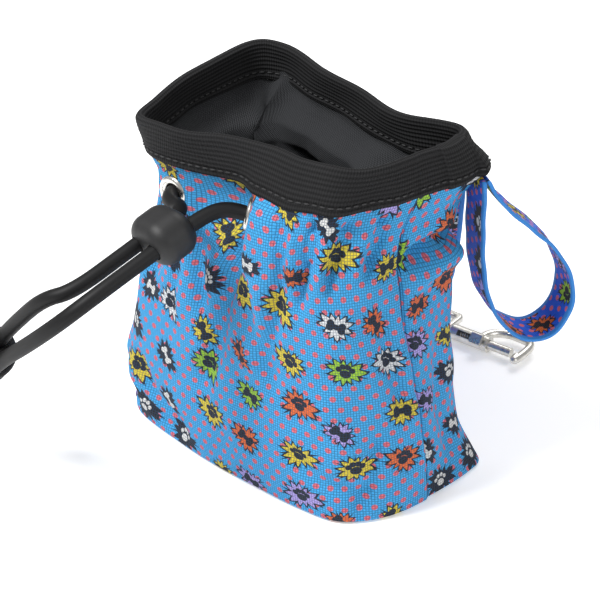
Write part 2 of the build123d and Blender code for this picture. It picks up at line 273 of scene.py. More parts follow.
def burst_cells(kit, vector, u, v, pitch):
    """Coordinates about the nearest burst's centre, at its own tilt, and its random numbers."""
    cells = kit.tree.nodes.new("ShaderNodeTexVoronoi")
    cells.voronoi_dimensions = "2D"
    cells.inputs["Scale"].default_value = 1 / pitch
    cells.inputs["Randomness"].default_value = BURST_SCATTER
    kit.put(cells.inputs["Vector"], vector)
    random = kit.tree.nodes.new("ShaderNodeSeparateColor")
    kit.put(random.inputs[0], cells.outputs["Color"])
    centre = kit.tree.nodes.new("ShaderNodeSeparateXYZ")
    kit.put(centre.inputs[0], cells.outputs["Position"])
    dx = kit.sub(u, centre.outputs[0])
    dy = kit.sub(v, centre.outputs[1])
    tilt = kit.mul_add(random.outputs[0], 1.3, -1.15)
    cosine, sine = kit.math("COSINE", tilt), kit.math("SINE", tilt)
    x = kit.add(kit.mul(dx, cosine), kit.mul(dy, sine))
    y = kit.sub(kit.mul(dy, cosine), kit.mul(dx, sine))
    return x, y, random.outputs


def burst_distances(kit, x, y, random):
    """Signed distances to a burst and to the black, longer-rayed shape behind it."""
    angle = kit.math("ARCTAN2", y, x)
    size = kit.mul_add(random[1], 0.3, 0.85)
    reach = kit.math("DIVIDE", kit.length(x, kit.mul(y, BURST_SQUASH)), size)
    uneven = kit.math("SINE", kit.mul_add(random[0], 9.0, kit.mul(angle, 3.0)))
    reach = kit.sub(reach, kit.mul(uneven, 0.65))
    turns = kit.mul_add(angle, BURST_POINTS / tau, random[2])
    spike = kit.mul(kit.math("PINGPONG", turns, 0.5), 2.0)
    burst = kit.sub(reach, kit.mul_add(spike, 2.4, 3.3))
    rays = kit.math("PINGPONG", kit.mul_add(angle, BURST_RAYS / tau, 0.3), 0.5)
    long_spike = kit.math("POWER", kit.mul(rays, 2.0), 4.0)
    black = kit.sub(reach, kit.math("MAXIMUM", kit.mul_add(spike, 2.6, 4.1),
                                    kit.mul_add(long_spike, 3.4, 4.3)))
    return burst, black


def charm_distance(kit, x, y, choice):
    """Signed distance to a bone, or to a paw where the choice is over a half."""
    ax = kit.math("ABSOLUTE", x)
    ay = kit.math("ABSOLUTE", y)
    ex = kit.sub(ax, 1.9)
    lobe = disc(kit, ex, kit.sub(ay, 0.62), 0.85)
    bone = kit.math("MINIMUM", lobe, kit.math("MAXIMUM", ex, kit.sub(ay, 0.5)))
    pad = disc(kit, x, kit.mul(kit.add(y, 0.7), 1.2), 1.35)
    inner = disc(kit, kit.sub(ax, 0.75), kit.sub(y, 1.75), 0.62)
    outer = disc(kit, kit.sub(ax, 2.0), kit.sub(y, 0.75), 0.6)
    paw = kit.math("MINIMUM", pad, kit.math("MINIMUM", inner, outer))
    which = kit.math("GREATER_THAN", choice, 0.5)
    return kit.add(kit.mul(which, paw), kit.mul(kit.sub(1.0, which), bone))


def print_pattern(kit, ground, burst_pitch):
    """Coral spots and spiky bursts on the ground colour, each burst with a bone or a paw in it."""
    vector, u, v = kit.uv()
    outline = opaque(OUTLINE_INK)
    low, high = INK_EDGE
    spot = kit.step(spot_distance(kit, u, v), SPOT_RADIUS + low, SPOT_RADIUS + high)
    colour = kit.mix(spot, opaque(ground), opaque(CORAL))
    x, y, random = burst_cells(kit, vector, u, v, burst_pitch)
    burst, black = burst_distances(kit, x, y, random)
    charm = charm_distance(kit, x, y, random[1])
    colour = kit.mix(kit.step(black, low, high), colour, outline)
    ink = kit.ramp(random[2], BURST_INKS, constant=True)
    colour = kit.mix(kit.step(burst, low, high), colour, ink)
    dark = kit.math("GREATER_THAN", random[2], DARK_BURSTS)
    inside = kit.mix(dark, outline, opaque(PALE_INK))
    colour = kit.mix(kit.step(charm, 0.3, 0.45), colour, outline)
    colour = kit.mix(kit.step(charm, 0.0, 0.15), colour, inside)
    return colour, u, v


# thread and rib pitches, in mm
WEAVE_PITCH = 0.85
TWILL_PITCH = 0.75
TWILL_CROSS_PITCH = 0.9
TAPE_RIB_PITCH = 1.35
TAPE_THREAD_PITCH = 0.95
BRAID_PITCH = 1.3
RIBBON_RIB_PITCH = 0.55
RIBBON_THREAD_PITCH = 0.7
RIBBON_PRINT = (5.6, 6.2)   # the print fades into the woven edge between these


def weave(kit, u, v, pitch):
    """A plain weave: its height, and how deep in a gap between threads a point is."""
    warp = kit.wave(u, 2 * pitch)
    weft = kit.wave(v, 2 * pitch)
    over = kit.math("MULTIPLY", warp, weft)
    gap = kit.math("MAXIMUM", kit.sub(1.0, kit.math("ABSOLUTE", warp)),
                   kit.sub(1.0, kit.math("ABSOLUTE", weft)))
    return over, kit.math("POWER", gap, 2.4)


def printed_cloth():
    kit = Kit("printed_cloth", 0.88)
    colour, u, v = print_pattern(kit, SKY, CLOTH_BURST_PITCH)
    over, gap = weave(kit, u, v, WEAVE_PITCH)
    # painted shade: the colour darkens towards SKY_SHADOW in the gaps between threads and along
    # the side seam, where its groove lies in shade
    seam_shade = kit.step(kit.math("ABSOLUTE", u), 0.25, 0.7)
    shadow = kit.math("MAXIMUM", kit.mul_add(gap, 0.8, kit.mul(over, 0.12)), seam_shade)
    kit.colour(kit.mix(shadow, colour, opaque(SKY_SHADOW)))
    kit.bump(kit.sub(kit.mul(over, 0.35), gap), 0.0002, 0.8)
    return kit.material


def lining_cloth():
    kit = Kit("lining_twill", 0.85)
    _, u, v = kit.uv()
    diagonal = kit.wave(kit.add(u, v), TWILL_PITCH)
    cross = kit.wave(kit.sub(u, v), TWILL_CROSS_PITCH)
    rib = kit.add(kit.mul(diagonal, 0.7), kit.mul(cross, 0.5))
    fleck = kit.mul_add(rib, 0.25, 0.5)
    kit.colour(kit.ramp(fleck, [(0.1, srgb(0.12, 0.123, 0.13)), (0.9, srgb(0.26, 0.265, 0.275))]))
    kit.bump(rib, 0.0002, 0.7)
    kit.specular(0.2)
    return kit.material


def tape_cloth():
    kit = Kit("rim_tape", 0.85)
    _, u, v = kit.uv()
    rib = kit.wave(v, TAPE_RIB_PITCH)
    fuzz = kit.noise(kit.place(), 900.0)
    threads = kit.add(kit.wave(u, TAPE_THREAD_PITCH), kit.mul(fuzz, 1.2))
    shade = kit.mul_add(kit.add(rib, kit.mul(threads, 0.4)), 0.3, 0.5)
    kit.colour(kit.ramp(shade, [(0.1, srgb(0.05, 0.05, 0.055)), (0.95, srgb(0.145, 0.145, 0.15))]))
    kit.bump(kit.add(kit.mul(rib, 0.4), kit.mul(threads, 0.3)), 0.0003, 0.8)
    kit.specular(0.25)
    return kit.material


def braid_cloth():
    kit = Kit("cord_braid", 0.55)
    _, u, v = kit.uv()
    braid = kit.mul(kit.wave(kit.add(u, v), BRAID_PITCH), kit.wave(kit.sub(u, v), BRAID_PITCH))
    kit.colour(kit.ramp(kit.mul_add(braid, 0.5, 0.5),
                        [(0.0, srgb(0.03, 0.03, 0.033)), (1.0, srgb(0.10, 0.10, 0.105))]))
    kit.bump(braid, 0.00022, 0.9)
    kit.specular(0.25)
    return kit.material


def ribbon_cloth():
    kit = Kit("ribbon_satin", 0.6)
    colour, u, v = print_pattern(kit, RIBBON_BLUE, RIBBON_BURST_PITCH)
    printed = kit.step(kit.math("ABSOLUTE", v), *RIBBON_PRINT)
    kit.colour(kit.mix(printed, opaque(RIBBON_EDGE), colour))
    rib = kit.add(kit.wave(u, RIBBON_RIB_PITCH), kit.mul(kit.wave(v, RIBBON_THREAD_PITCH), 0.4))
    kit.bump(rib, 0.0001, 0.6)
    kit.specular(0.25)
    return kit.material


def nickel(name, roughness):
    kit = Kit(name, roughness, 1.0)
    wear = kit.noise(kit.place(), 260.0, 5.0)
    kit.colour(kit.ramp(wear, [(0.3, srgb(0.80, 0.79, 0.76)), (0.7, srgb(0.93, 0.92, 0.90))]))
    kit.put(kit.shader.inputs["Roughness"], kit.mul_add(wear, 0.22, roughness - 0.08))
    kit.bump(kit.noise(kit.place(), 900.0), 0.00004, 0.35)
    return kit.material


def lock_rubber():
    kit = Kit("lock_rubber", 0.55)
    skin = kit.noise(kit.place(), 1400.0, 4.0)
    cloud = kit.noise(kit.place(), 120.0)
    kit.colour(kit.ramp(cloud, [(0.3, srgb(0.065, 0.065, 0.07)),
                                (0.75, srgb(0.10, 0.10, 0.105))]))
    kit.bump(skin, 0.00008, 0.5)
    return kit.material


def thread(name, shade):
    kit = Kit(name, 0.7)
    twist = kit.noise(kit.place(), 2500.0, 2.0)
    kit.colour(kit.ramp(twist, [(0.3, tuple(c * 0.6 for c in shade)), (0.7, shade)]))
    kit.bump(twist, 0.0001, 0.6)
    return kit.material


# ---- the bag's form --------------------------------------------------------------------------
# outlines of the bag: height in mm, and points round it from +X, through the back
OUTLINE = {
    0: [(57, 0), (57, 20), (51, 31), (24, 34), (0, 34), (-24, 33), (-47, 30),
        (-55, 18), (-56, 0), (-56, -21), (-49, -32), (-24, -35.5), (-5, -36), (12, -35),
        (30, -33.5), (45, -29.5), (54, -17)],
    12: [(57, 0), (53, 18), (45, 28), (24, 34), (0, 36), (-24, 35), (-46, 31),
         (-56, 20), (-59, 0), (-58, -23), (-49, -34), (-24, -37), (-5, -37.5), (12, -37),
         (30, -35), (45, -30), (54, -17)],
    45: [(52, -2), (49, 16), (41, 26), (22, 32), (0, 34), (-24, 34), (-46, 31),
         (-55, 20), (-58, 0), (-56, -20), (-47, -32), (-24, -37), (-5, -37), (12, -36),
         (28, -34), (42, -29), (50, -17)],
    75: [(47, -4), (47, 14), (41, 26), (22, 29), (0, 31), (-24, 32), (-44, 30),
         (-52, 20), (-53, 0), (-50, -19), (-42, -28), (-25, -34), (-6, -32), (10, -36),
         (26, -34), (38, -29), (45, -18)],
    95: [(43, 0), (46, 19), (39, 29), (22, 26), (0, 28), (-24, 31), (-43, 31),
         (-50, 22), (-50, 0), (-46, -18), (-39, -27), (-27, -32), (0, -24.5), (10, -34.5),
         (24, -32), (34, -26), (40, -14)],
    107: [(44, 5), (47, 23), (41, 33), (22, 26), (0, 29), (-24, 32), (-44, 35),
          (-54, 26), (-53, 0), (-49, -18), (-43, -29), (-26, -34), (-4, -27), (8, -28),
          (22, -27), (33, -23), (40, -10)],
    118: [(42, 6), (44, 21), (38, 31.5), (21, 25), (0, 28), (-22, 31), (-45, 36),
          (-55, 26), (-53, 0), (-49, -19), (-44, -31), (-26, -33.5), (-10, -27), (6, -22),
          (20, -20.5), (33, -17), (40, -6)],
}
HEIGHTS = np.array(sorted(OUTLINE), float)
TABLE = np.array([OUTLINE[h] for h in sorted(OUTLINE)], float)
SIDES = TABLE.shape[1]
MM_PER_U = 20.0             # roughly how much cloth lies between two tabled points
LEFT_EYELET = (np.array((-27, -32.3, 94.5)), np.array((0.05, -1, 0.05)))
RIGHT_EYELET = (np.array((5.2, -29.4, 98)), np.array((-0.75, -0.6, 0.2)))
# folds pressed into the cloth: points (place round the bag in outline points, height), then
# depth and half-width in mm
CREASES = [
    ([(0.0, 1), (0.0, 30), (0.0, 60), (0.0, 84), (0.0, 104)], 2.2, 1.1),     # side seam
    ([(0.0, 84), (0.7, 87), (1.5, 86), (2.4, 88)], 5.5, 2.7),                # waist fold
    ([(0.15, 96), (0.8, 98), (1.7, 98)], 1.4, 4.8),
    ([(16.3, 104), (16.4, 95), (16.0, 84)], 3.0, 2.4),
    ([(15.6, 104), (15.4, 94), (15.0, 80)], 3.0, 2.8),
    ([(14.7, 105), (14.6, 92), (14.2, 72)], 3.0, 3.0),
    ([(13.7, 105), (13.9, 92), (13.7, 72), (13.4, 52)], 2.6, 3.4),
    ([(11.3, 90), (11.5, 74), (11.7, 54)], 3.2, 3.2),
    ([(10.8, 90), (10.6, 74), (10.1, 56)], 3.4, 3.0),
    ([(11.0, 88), (11.0, 68), (10.9, 46)], 1.6, 2.4),
    ([(10.2, 98), (9.8, 84), (9.2, 68)], 3.2, 3.2),
    ([(12.4, 92), (12.3, 70), (12.0, 46), (11.6, 26)], 3.6, 4.6),
    ([(12.9, 82), (13.1, 62), (13.6, 38)], 2.2, 4.6),
    ([(10.1, 30), (10.5, 15), (11.3, 4)], 2.6, 3.2),
    ([(8.5, 11), (9.3, 9), (10.2, 6)], 3.4, 3.0),
    ([(9.8, 16), (10.4, 9), (11.0, 3)], 1.8, 2.0),
    ([(15.9, 34), (15.7, 16), (15.3, 3)], 2.0, 3.4),
    ([(13.6, 26), (14.6, 15), (15.8, 12)], 1.6, 3.4),
    ([(16.6, 36), (16.4, 58), (16.5, 78)], 2.0, 4.0),
    ([(0.9, 6), (0.7, 30), (0.9, 58)], 2.6, 4.6),
    ([(3.4, 100), (3.3, 84), (3.0, 66)], 3.0, 4.0),
    ([(4.6, 100), (4.6, 82), (4.9, 62)], 2.8, 4.0),
    ([(5.9, 100), (5.8, 82), (5.6, 60)], 2.8, 4.0),
    ([(7.2, 100), (7.4, 84), (7.8, 60)], 2.8, 4.0),
]
# soft swellings between the folds, written the same way
SWELLS = [
    ([(0.15, 77), (1.0, 80), (2.0, 79)], 3.2, 3.8),
    ([(1.3, 107), (2.1, 107.5)], 3.6, 5.0),
    ([(13.3, 86), (13.3, 66), (12.8, 44)], 2.2, 4.6),
    ([(11.9, 90), (11.95, 64)], 2.4, 3.6),
    ([(14.15, 100), (14.0, 82)], 1.8, 3.0),
    ([(15.1, 100), (14.8, 82)], 1.8, 2.8),
    ([(16.0, 100), (15.7, 84)], 1.4, 2.6),
    ([(10.5, 84), (10.2, 64)], 1.8, 2.8),
    ([(16.8, 30), (16.8, 60)], 1.2, 3.0),
    ([(8.9, 1), (9.5, 1)], 1.8, 3.0),
    ([(9.0, 26), (9.6, 22)], 1.2, 6.0),
]


def catmull_blend(p, f):
    """Catmull-Rom between p[1] and p[2] at the fraction f."""
    return 0.5 * (2 * p[1] + (p[2] - p[0]) * f
                  + (2 * p[0] - 5 * p[1] + 4 * p[2] - p[3]) * f ** 2
                  + (3 * p[1] - p[0] - 3 * p[2] + p[3]) * f ** 3)


def catmull(values, u):
    """Periodic Catmull-Rom through values along axis 1."""
    i = np.floor(u).astype(int)
    f = (u - i)[None, :, None]
    return catmull_blend([values[:, (i + k) % SIDES] for k in (-1, 0, 1, 2)], f)


def distances(points):
    """Distance along a row of points, from the first."""
    return np.concatenate([[0], np.cumsum(np.linalg.norm(np.diff(points, axis=0), axis=1))])


def unit(v):
    return v / np.linalg.norm(v)


def round_from(u, place):
    """How far round the bag u is from a place, the short way."""
    return (u - place + SIDES / 2) % SIDES - SIDES / 2


def hermite(values, z):
    """Smooth interpolation between the tabled heights, along axis 0."""
    slope = np.gradient(values, HEIGHTS, axis=0)
    k = np.clip(np.searchsorted(HEIGHTS, z) - 1, 0, len(HEIGHTS) - 2)
    h = (HEIGHTS[k + 1] - HEIGHTS[k])[:, None, None]
    t = (z - HEIGHTS[k])[:, None, None] / h
    return ((2 * t ** 3 - 3 * t ** 2 + 1) * values[k] + (t ** 3 - 2 * t ** 2 + t) * h * slope[k]
            + (3 * t ** 2 - 2 * t ** 3) * values[k + 1] + (t ** 3 - t ** 2) * h * slope[k + 1])


def smooth(x):
    """Rises from 0 to 1 as x does, levelling off at both."""
    x = np.clip(x, 0, 1)
    return x * x * (3 - 2 * x)


def line_field(u, z, points, width):
    """Nearness to a line drawn on the cloth: 1 on it, fading across it and at its ends."""
    best = np.zeros(u.shape)
    count = len(points) - 1
    for k, (a, b) in enumerate(zip(points, points[1:])):
        du = round_from(u, a[0]) * MM_PER_U
        dz = z - a[1]
        bu, bz = (b[0] - a[0]) * MM_PER_U, b[1] - a[1]
        t = np.clip((du * bu + dz * bz) / (bu * bu + bz * bz), 0, 1)
        away = np.hypot(du - t * bu, dz - t * bz) / width
        whole = (k + t) / count
        ends = smooth(whole * 4 + 0.15) * smooth((1 - whole) * 4 + 0.15)
        best = np.maximum(best, np.exp(-away ** 2) * ends)
    return best


SEAM_STEP = 0.9             # the cloth behind the seam lies this much lower
RIPPLE = 0.55
CHANNEL_Z = 95              # middle of the cord channel
CHANNEL_DEPTH = 1.7         # deepest fold over the channel, which the cord keeps open
DROOP = 3.2                 # the rim sags this much
DROOP_AT = 9.6              # at this place round the bag
MID_HEIGHT = 60.0


def wall(u, z, inset, press=1.0):
    """A grid of points on the cloth, moved in by inset.  The folds fade where press is under 1."""
    flat = hermite(catmull(TABLE, u), z)
    uu, zz = np.meshgrid(u, z)
    along = np.roll(flat, -1, 1) - np.roll(flat, 1, 1)
    along /= np.linalg.norm(along, axis=2, keepdims=True)
    inward = np.stack([-along[..., 1], along[..., 0]], 2)
    depth = np.zeros(uu.shape)
    for points, deep, width in CREASES:
        depth += deep * line_field(uu, zz, points, width)
    for points, high, width in SWELLS:
        depth -= high * line_field(uu, zz, points, width)
    from_seam = round_from(uu, 0)
    step = smooth(from_seam / 0.04 + 0.5) * smooth((1.6 - from_seam) / 1.2)
    depth += SEAM_STEP * step * smooth((100 - zz) / 20)
    ripple = (np.sin(uu * 2.9 + zz * 0.06) * np.sin(zz * 0.11 + uu * 1.3)
              + 0.6 * np.sin(uu * 5.3 - zz * 0.13 + 1.0) * np.sin(zz * 0.19 + 0.4))
    depth += RIPPLE * ripple * smooth(zz / 15)
    depth = np.minimum(depth, CHANNEL_DEPTH + 8 * smooth((np.abs(zz - CHANNEL_Z) - 3.5) / 5))
    if np.isscalar(press):
        press = press * smooth((121 - zz) / 10)
    flat = flat + inward * (depth * press + inset)[..., None]
    droop = DROOP * np.exp(-(round_from(uu, DROOP_AT) / 1.3) ** 2) * smooth((zz - 88) / 28)
    return np.concatenate([flat, (zz - droop)[..., None]], 2)


def arc_u(u):
    """Cloth coordinate round the bag, in mm, at mid height."""
    return distances(hermite(catmull(TABLE, np.append(u, SIDES)), np.array([MID_HEIGHT]))[0])


def add_grid(name, grid, across, down, material, closed=True, keep=None):
    """A quad mesh from a grid of points in mm, with cloth coordinates in mm.

    A closed grid joins its last column to its first, so across has one more entry than it.
    """
    rows, cols = grid.shape[:2]
    index = np.arange(rows * cols).reshape(rows, cols).tolist()
    last = cols if closed else cols - 1
    faces, coords = [], []
    for r in range(rows - 1):
        for c in range(last):
            if keep is not None and not keep[r, c]:
                continue
            d = (c + 1) % cols
            faces.append((index[r][c], index[r][d], index[r + 1][d], index[r + 1][c]))
            coords.append(((across[c], down[r]), (across[c + 1], down[r]),
                           (across[c + 1], down[r + 1]), (across[c], down[r + 1])))
    mesh = bpy.data.meshes.new(name)
    mesh.from_pydata((grid.reshape(-1, 3) * MM).tolist(), [], faces)
    layer = mesh.uv_layers.new(name="UVMap")
    layer.data.foreach_set("uv", np.array(coords, np.float32).ravel())
    return finish_mesh(name, mesh, material)


def finish_mesh(name, mesh, material):
    """Smooth shading, no loose points, linked into the scene."""
    work = bmesh.new()
    work.from_mesh(mesh)
    bmesh.ops.delete(work, geom=[v for v in work.verts if not v.link_faces], context="VERTS")
    work.to_mesh(mesh)
    work.free()
    mesh.polygons.foreach_set("use_smooth", [True] * len(mesh.polygons))
    mesh.materials.append(material)
    piece = bpy.data.objects.new(name, mesh)
    bpy.context.collection.objects.link(piece)
    return piece


def place_piece(piece, body, slot, *nodes):
    """The body a piece moves with, its material slot, which is not used, and the CAD nodes it
    stands for, which it hides.
    """
    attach(piece, body)
    if nodes:
        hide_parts(*nodes)


ROUND = np.linspace(0, SIDES, 408, endpoint=False)
CLOTH_TOP = 112             # under the rim tape
CLOTH_FOOT = 0.9
BASE_RINGS = 14
BASE_REACH = 34             # cloth coordinate from the foot to the middle of the base, in mm
CLAMP_R, CLAMP_FADE = 11, 5.5
HOLE_R = 3.3


def seat_eyelets(grid):
    """Flattens the cloth where each eyelet clamps it, and says which points lie in its hole."""
    hole = np.zeros(grid.shape[:2], bool)
    for centre, normal in (LEFT_EYELET, RIGHT_EYELET):
        n = unit(normal)
        away = grid - centre
        height = away @ n
        radius = np.linalg.norm(away - height[..., None] * n, axis=2)
        near = np.abs(height) < 9
        weight = np.where(near, smooth((CLAMP_R - radius) / CLAMP_FADE), 0)
        grid -= (weight * (height + 0.05))[..., None] * n
        hole |= near & (radius < HOLE_R)
    return hole


def make_cloth(material):
    """The printed outer bag, closed below by its base."""
    z = np.concatenate([np.linspace(CLOTH_FOOT, 6, 8, endpoint=False),
                        np.linspace(6, CLOTH_TOP, 150)])
    grid = wall(ROUND, z, 0.0)
    hole = seat_eyelets(grid)
    foot = grid[0]
    middle = foot.mean(0)
    under = []
    for share in np.linspace(0, 1, BASE_RINGS)[:-1]:
        ring = middle + (foot - middle) * share
        ring[:, 2] = 0.25 + 0.65 * share ** 12
        under.append(ring)
    whole = np.concatenate([under, grid])
    down = np.concatenate([np.linspace(-BASE_REACH, 0, len(under), endpoint=False), z])
    keep = np.ones(whole.shape[:2], bool)
    keep[len(under):] = ~hole
    piece = add_grid("bag_cloth", whole, arc_u(ROUND), down, material, keep=keep)
    place_piece(piece, "pouch", "printed_fabric", "front_panel", "back_panel", "base_panel")


# how far the lining stands in from the outer cloth at each height
LINING_HEIGHTS = np.array([2, 82, 88, 92, 97.5, 101, 104, 118], float)
LINING_INSETS = np.array([1.8, 1.8, 4.5, 9.4, 9.4, 4.0, 1.5, 1.0])
# bulges of the lining, written like the folds
LINING_SWELLS = [([(6.1, 107), (5.9, 97), (5.6, 88), (5.0, 82)], 7.0, 4.0),
                 ([(0.9, 104), (1.4, 99), (2.0, 94)], 9.0, 6.0),
                 ([(3.6, 104), (3.4, 88)], 2.5, 6.0),
                 ([(7.2, 100), (7.0, 82)], 2.5, 7.0)]
LINING_FOOT = 3.0


def make_lining(material):
    """The dark inner bag, which swells inward over the cord channel."""
    z = np.linspace(CLOTH_TOP, LINING_FOOT, 120)
    inset = np.interp(z, LINING_HEIGHTS, LINING_INSETS)[:, None] + np.zeros(len(ROUND))
    uu, zz = np.meshgrid(ROUND, z)
    for points, high, width in LINING_SWELLS:
        inset = inset + high * line_field(uu, zz, points, width)
    inset += (0.5 * np.sin(uu * 4.1 + 0.8) * np.sin(zz * 0.12)
              + 0.35 * np.sin(uu * 7.7) * smooth((zz - 80) / 10))
    grid = wall(ROUND, z, inset, press=0.35 + 0.65 * smooth((97 - zz) / 12))
    foot = grid[-1]
    middle = foot.mean(0)
    under = [middle + (foot - middle) * share for share in np.linspace(1, 0, BASE_RINGS)[1:]]
    whole = np.concatenate([grid, under])
    down = np.concatenate([z, np.linspace(0, -BASE_REACH, len(under))])
    piece = add_grid("bag_lining", whole, arc_u(ROUND), down, material)
    piece.data.flip_normals()
    place_piece(piece, "pouch", "lining_fabric", "lining_wall", "lining_base")


STITCH_Z = 108.2
STITCH_PITCH, STITCH_LENGTH, STITCH_R = 2.7, 1.9, 0.27
STITCH_OUTSIDE, STITCH_INSIDE = 0.98, -2.3      # outward of the cloth
# the tape's cross-section: outward of the cloth, and height
TAPE_PROFILE = [(0.15, 105.6), (0.75, 105.6), (1.05, 106.1), (1.0, 108), (0.85, 111), (0.9, 115),
                (0.95, 117), (0.7, 118.0), (0.1, 118.6), (-0.9, 118.75), (-1.7, 118.5),
                (-2.2, 117.8), (-2.35, 116.6), (-2.25, 113), (-2.3, 109), (-2.4, 106.6),
                (-2.1, 105.9), (-1.5, 105.7)]
TAPE_MIDDLE = -0.7          # between the outer and the inner leaf
LAP = (0.55, 1.45)          # the tape's ends overlap between these places round the bag
LAP_THICK = 0.8


def fine_profile():
    """The tape's section at close spacing, and the distance along it."""
    points = np.array(TAPE_PROFILE)
    step = distances(points)
    at = np.linspace(0, step[-1], 64)
    return np.stack([np.interp(at, step, points[:, k]) for k in (0, 1)], 1), at


def tape_point(u, outward, z):
    """Points of the rim tape, which waves a little and is thicker where its ends overlap."""
    wobble = 0.3 * np.sin(u * 3.1) + 0.2 * np.sin(u * 4.7 + 1.3)
    lap = smooth((u - LAP[0]) / 0.04) * smooth((LAP[1] - u) / 0.04)
    rows = []
    for o, h in zip(outward, z):
        side = 1 if o > TAPE_MIDDLE else -1
        row = wall(u, np.array([h]), -o - side * LAP_THICK * lap)[0]
        row[:, 2] += wobble * (0.9 if h > 112 else 0.5)
        rows.append(row)
    return np.array(rows)


def make_tape(material):
    """The ribbed tape folded over the rim."""
    profile, at = fine_profile()
    u = np.linspace(0, SIDES, 680, endpoint=False)
    grid = tape_point(u, profile[:, 0], profile[:, 1])
    rib = np.where(profile[:, 0] < 0, 0.10, 0.05) * np.sin(at * tau / TAPE_RIB_PITCH)
    rib -= 0.35 * np.exp(-((profile[:, 1] - STITCH_Z) / 0.7) ** 2)
    out = np.cross(np.roll(grid, -1, 1) - np.roll(grid, 1, 1), np.gradient(grid, axis=0))
    out /= np.linalg.norm(out, axis=2, keepdims=True)
    grid = grid + out * rib[:, None, None]
    grid = np.concatenate([grid, grid[:1]])
    piece = add_grid("rim_tape", grid, arc_u(u), np.append(at, at[-1] + 0.8), material)
    place_piece(piece, "pouch", "binding_tape", "rim_binding")


def tube(points, radius, sides):
    """Rings of points for a round tube along a path, all in mm."""
    tangent = np.gradient(points, axis=0)
    tangent /= np.linalg.norm(tangent, axis=1, keepdims=True)
    turn = np.linspace(0, tau, sides, endpoint=False)[:, None]
    side = unit(np.cross(tangent[0], (0.3, 0.2, 0.93)))
    rings = []
    for p, t in zip(points, tangent):
        side = unit(side - t * (side @ t))
        rings.append(p + radius * (np.cos(turn) * side + np.sin(turn) * np.cross(t, side)))
    return np.array(rings)


def make_stitches(name, outward, material):
    """A row of machine stitches through the tape, each a short tube that dips in at its ends."""
    u = np.linspace(0, SIDES, 4000, endpoint=False)
    line = tape_point(u, [outward], [STITCH_Z])[0]
    run = distances(line)
    sink = np.array([0.1, 0.9, 1, 1, 0.9, 0.1])[:, None, None]
    sides = 6
    vertices, faces = [], []
    for start in np.arange(0, run[-1] - STITCH_PITCH, STITCH_PITCH):
        at = np.linspace(start, start + STITCH_LENGTH, len(sink))
        path = np.stack([np.interp(at, run, line[:, k]) for k in range(3)], 1)
        rings = path[:, None] + (tube(path, STITCH_R, sides) - path[:, None]) * sink
        base = len(vertices)
        vertices.extend((rings.reshape(-1, 3) * MM).tolist())
        for r in range(len(sink) - 1):
            for c in range(sides):
                a, b = base + r * sides + c, base + r * sides + (c + 1) % sides
                faces.append((a, b, b + sides, a + sides))
    mesh = bpy.data.meshes.new(name)
    mesh.from_pydata(vertices, [], faces)
    place_piece(finish_mesh(name, mesh, material), "pouch", "binding_tape")


# ---- cords -----------------------------------------------------------------------------------
# millimetres, as in the CAD
CORD_R = 2.5
LOCK_CENTRE = Vector((-9.5, -52, 93.6))
LOCK_AXIS = Vector((-0.10, -0.94, -0.31)).normalized()
LOCK_ACROSS = Vector((0.98, -0.15, 0.14)).normalized()
LOCK_SPACING = 9.5
ENTRY = 12.3                # the strands run straight from this far before the lock
STRAIGHT = 33.0             # to this far past it
# each strand: in the channel, out to the lock, and on from it through the knot
LEFT_INSIDE = [(-36.3, -23.3, 95), (-28.8, -26.8, 94.6)]
LEFT_BEFORE = [(-24.5, -38, 94.8)]
LEFT_AFTER = [(-25.5, -88, 79), (-39.5, -88, 65), (-53, -86, 51), (-64, -85, 37), (-72, -87, 21),
              (-82, -90, 7.5), (-95, -93, 2.6)]
RIGHT_INSIDE = [(22, -28.2, 95), (7.1, -28.4, 97.4)]
RIGHT_BEFORE = [(-0.8, -34, 99.6)]
RIGHT_AFTER = [(-15, -92, 75.5), (-31, -93, 61), (-47.5, -90, 47.5), (-60, -90, 33),
               (-69, -95, 17.5), (-79, -101, 5.5), (-91, -107, 2.6)]


def strand(inside, before, after, side):
    """One strand's route, as the CAD has it."""
    line = LOCK_CENTRE + LOCK_ACROSS * (side * LOCK_SPACING / 2)
    straight = [line - LOCK_AXIS * ENTRY, line, line + LOCK_AXIS * ENTRY,
                line + LOCK_AXIS * STRAIGHT]
    start = (Vector(inside[0]) + Vector(inside[1])) * 0.5
    return [start, Vector(inside[1]), *map(Vector, before), *straight, *map(Vector, after)]


def make_cord(name, points, node, material):
    """An elastic cord as one curve."""
    data = bpy.data.curves.new(name, "CURVE")
    data.dimensions = "3D"
    data.bevel_depth = CORD_R * MM
    data.bevel_resolution = 6
    data.use_fill_caps = True
    data.resolution_u = 16
    spline = data.splines.new("NURBS")
    spline.points.add(len(points) - 1)
    for point, place in zip(spline.points, points):
        point.co = (*(place * MM), 1)
    spline.order_u = 3
    spline.use_endpoint_u = True
    data.materials.append(material)
    piece = bpy.data.objects.new(name, data)
    bpy.context.collection.objects.link(piece)
    place_piece(piece, "pouch", "elastic_cord", node)
    return piece


KNOT_CENTRE = np.array((-55.5, -87.5, 45.5))
KNOT_AXIS = np.array((-0.70, 0.05, -0.71))
KNOT_TURNS = 2.55
KNOT_LENGTH = 12.5
KNOT_CORD_R = 2.45


